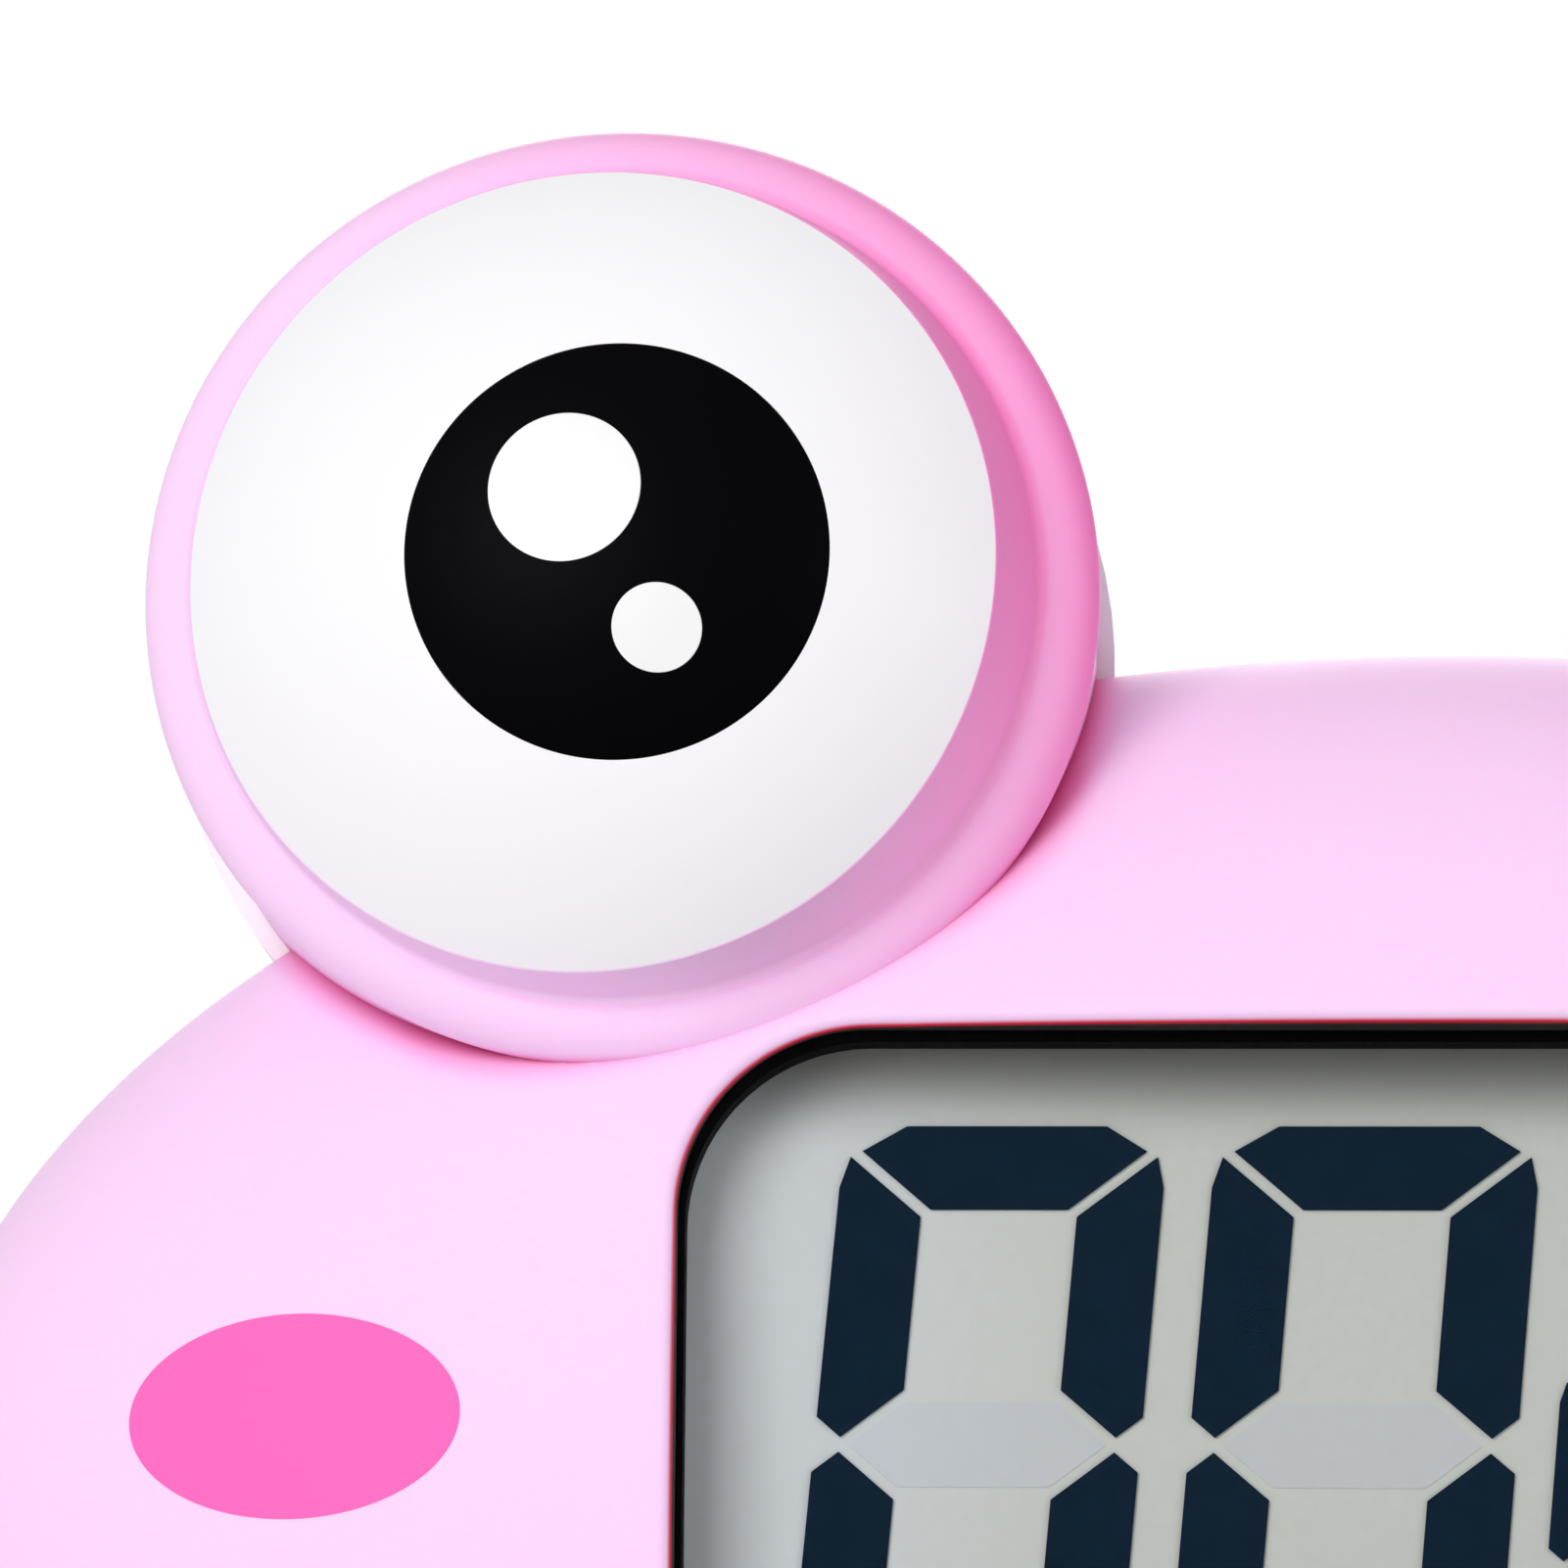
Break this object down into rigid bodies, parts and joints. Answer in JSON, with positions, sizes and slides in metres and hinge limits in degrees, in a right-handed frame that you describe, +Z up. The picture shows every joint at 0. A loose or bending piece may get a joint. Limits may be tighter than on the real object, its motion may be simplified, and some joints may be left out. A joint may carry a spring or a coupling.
{
  "type": "digital countdown timer",
  "caption": "Frog-faced kitchen countdown timer: oval pink case with raised eyes, digital display, press buttons, folding stand with a magnet, and a battery bay behind a lift-off door.",
  "frame": {"origin": "middle of the flat base, under the middle of the timer's width and depth", "axes": "+Z up, +X to the right of someone who looks at the display, -Y out of the display towards that person"},
  "size_m": [0.08, 0.0294, 0.0564],
  "materials": {
    "pink_case": "smooth moulded plastic, soft gloss",
    "white_case": "smooth moulded plastic, soft gloss",
    "eye_white": "polished white plastic",
    "eye_black": "glossy black ink",
    "glint_white": "glossy white ink",
    "cheek_pink": "satin hot pink ink",
    "clear_lens": "clear polished plastic",
    "black_gasket": "matt black",
    "display_grey": "grey-green liquid crystal panel",
    "display_ink": "dark blue-black liquid crystal segments",
    "frame_white": "white moulded plastic",
    "contact_rubber": "layered contact rubber",
    "board_green": "green solder mask",
    "resin_black": "black potting resin",
    "part_brown": "fired chip parts",
    "buzzer_black": "matt black plastic",
    "key_rubber": "grey silicone rubber",
    "plunger_rubber": "conductive black rubber",
    "key_white": "white moulded plastic",
    "cell_jacket": "printed steel can",
    "tinned_steel": "tinned spring steel",
    "screw_steel": "zinc-plated steel",
    "magnet_steel": "nickel-plated disc magnet"
  },
  "bodies": {
    "case": {"front_shell": "pink_case", "rear_cover": "white_case", "left_eye_dome": "eye_white", "right_eye_dome": "eye_white", "left_pupil": "eye_black", "right_pupil": "eye_black", "left_glints": "glint_white", "right_glints": "glint_white", "left_cheek": "cheek_pink", "right_cheek": "cheek_pink", "display_lens": "clear_lens", "display_gasket": "black_gasket", "lcd_panel": "display_grey", "lcd_segments": "display_ink", "lcd_frame": "frame_white", "contact_strips": "contact_rubber", "circuit_board": "board_green", "chip_blob": "resin_black", "crystal": "tinned_steel", "board_parts": "part_brown", "buzzer": "buzzer_black", "key_mat": "key_rubber", "battery_cell": "cell_jacket", "battery_spring": "tinned_steel", "negative_contact": "tinned_steel", "positive_contact": "tinned_steel", "case_screws": "screw_steel", "board_screws": "screw_steel"},
    "minute_key": {"minute_button": "key_white", "minute_plunger": "plunger_rubber"},
    "start_key": {"start_button": "key_white", "start_plunger": "plunger_rubber"},
    "second_key": {"second_button": "key_white", "second_plunger": "plunger_rubber"},
    "door": {"battery_door": "white_case"},
    "stand_leg": {"stand": "white_case", "stand_magnet": "magnet_steel"}
  },
  "joints": [
    {"name": "minute_press", "type": "slide", "parent": "case", "child": "minute_key", "axis": [0, 1, 0], "range_m": [0, 0.0008], "stiffness_N_per_m": 400},
    {"name": "start_press", "type": "slide", "parent": "case", "child": "start_key", "axis": [0, 1, 0], "range_m": [0, 0.0008], "stiffness_N_per_m": 400},
    {"name": "second_press", "type": "slide", "parent": "case", "child": "second_key", "axis": [0, 1, 0], "range_m": [0, 0.0008], "stiffness_N_per_m": 400},
    {"name": "door_lift", "type": "slide", "parent": "case", "child": "door", "axis": [0, 1, 0], "range_m": [0, 0.012]},
    {"name": "stand_fold", "type": "hinge", "parent": "case", "child": "stand_leg", "pos_m": [0, 0.01306, 0.0163], "axis": [1, 0, 0], "range_deg": [0, 70]}
  ]
}
